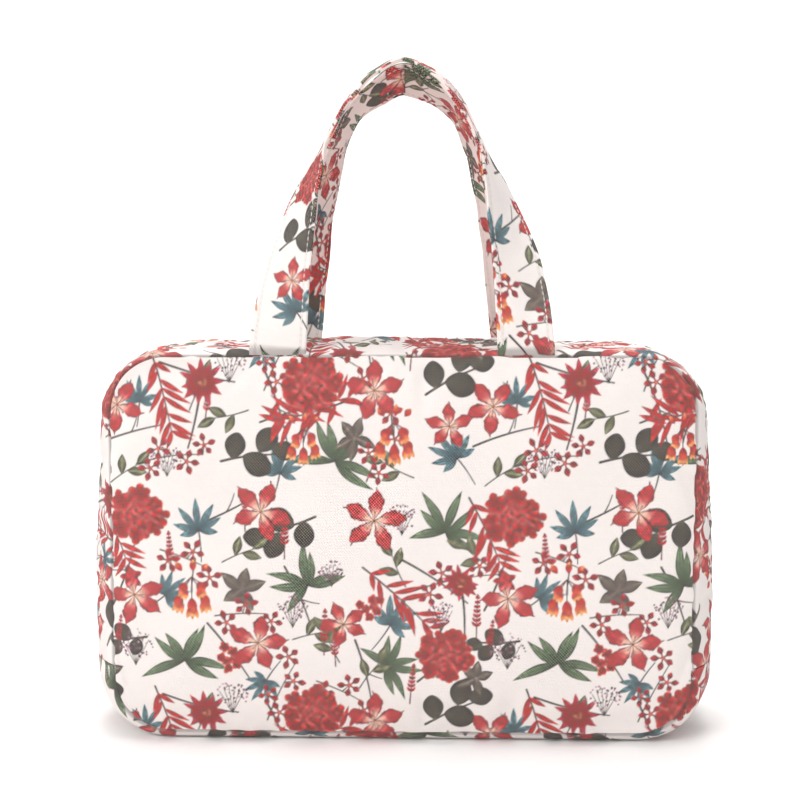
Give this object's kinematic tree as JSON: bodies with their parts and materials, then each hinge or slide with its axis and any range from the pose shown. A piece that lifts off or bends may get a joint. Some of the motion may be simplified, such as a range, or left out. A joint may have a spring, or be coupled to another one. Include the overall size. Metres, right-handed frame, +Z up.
{
  "type": "makeup bag",
  "caption": "Padded rectangular makeup bag in printed canvas with a clamshell zip, a flat base and flat strap handles sewn into the top seams.",
  "frame": {"origin": "on the ground, under the middle of the bag", "axes": "+X to the right of someone facing the front panel, -Y out of the front panel, +Z up"},
  "size_m": [0.3328, 0.111, 0.3571],
  "materials": {
    "canvas": "plain-weave cotton canvas, blush white with a red, coral, grey-green and brown botanical print, matt",
    "strap_canvas": "the same canvas folded to a strap and topstitched near both edges, matt",
    "foam": "soft padding, matt",
    "lining": "thin plain-weave lining, slight sheen",
    "binding": "woven tape, matt",
    "board": "thin stiffener sheet, matt",
    "zip_tape": "herringbone zip tape, cream, matt",
    "zip_teeth": "nylon coil, cream, satin",
    "zip_metal": "satin plated metal"
  },
  "bodies": {
    "back_half": {"back_panel": "canvas", "back_panel_foam": "foam", "back_panel_lining": "lining", "back_gusset": "canvas", "back_gusset_foam": "foam", "back_gusset_lining": "lining", "back_seam_binding": "binding", "back_zip_tape": "zip_tape", "back_zip_teeth": "zip_teeth", "back_pocket": "lining", "back_pocket_binding": "binding", "base_gusset": "canvas", "base_foam": "foam", "base_board": "board", "base_lining": "lining", "base_front_binding": "binding", "zip_end_tab_left": "strap_canvas", "zip_end_tab_right": "strap_canvas"},
    "front_half": {"front_panel": "canvas", "front_panel_foam": "foam", "front_panel_lining": "lining", "front_gusset": "canvas", "front_gusset_foam": "foam", "front_gusset_lining": "lining", "front_seam_binding": "binding", "front_zip_tape": "zip_tape", "front_zip_teeth": "zip_teeth", "front_pocket": "lining", "front_pocket_binding": "binding"},
    "front_strap": {"front_handle": "strap_canvas"},
    "back_strap": {"back_handle": "strap_canvas"},
    "left_slider": {"slider_left": "zip_metal"},
    "right_slider": {"slider_right": "zip_metal"},
    "left_puller": {"puller_left": "zip_metal"},
    "right_puller": {"puller_right": "zip_metal"}
  },
  "joints": [
    {"name": "front_half_hinge", "type": "hinge", "parent": "back_half", "child": "front_half", "pos_m": [0, -0.05, 0.005], "axis": [1, 0, 0], "range_deg": [0, 90]},
    {"name": "front_handle_flop", "type": "hinge", "parent": "front_half", "child": "front_strap", "pos_m": [0, -0.052, 0.204], "axis": [-1, 0, 0], "range_deg": [-150, 0]},
    {"name": "back_handle_flop", "type": "hinge", "parent": "back_half", "child": "back_strap", "pos_m": [0, 0.052, 0.204], "axis": [1, 0, 0], "range_deg": [-150, 0]},
    {"name": "left_slider_travel", "type": "slide", "parent": "back_half", "child": "left_slider", "axis": [-1, 0, 0], "range_m": [0, 0.18]},
    {"name": "right_slider_travel", "type": "slide", "parent": "back_half", "child": "right_slider", "axis": [1, 0, 0], "range_m": [0, 0.044]},
    {"name": "left_puller_pivot", "type": "hinge", "parent": "left_slider", "child": "left_puller", "pos_m": [0.0625, 0, 0.2062], "axis": [0, 1, 0], "range_deg": [0, 100]},
    {"name": "right_puller_pivot", "type": "hinge", "parent": "right_slider", "child": "right_puller", "pos_m": [0.0733, 0, 0.2062], "axis": [0, -1, 0], "range_deg": [0, 100]}
  ]
}
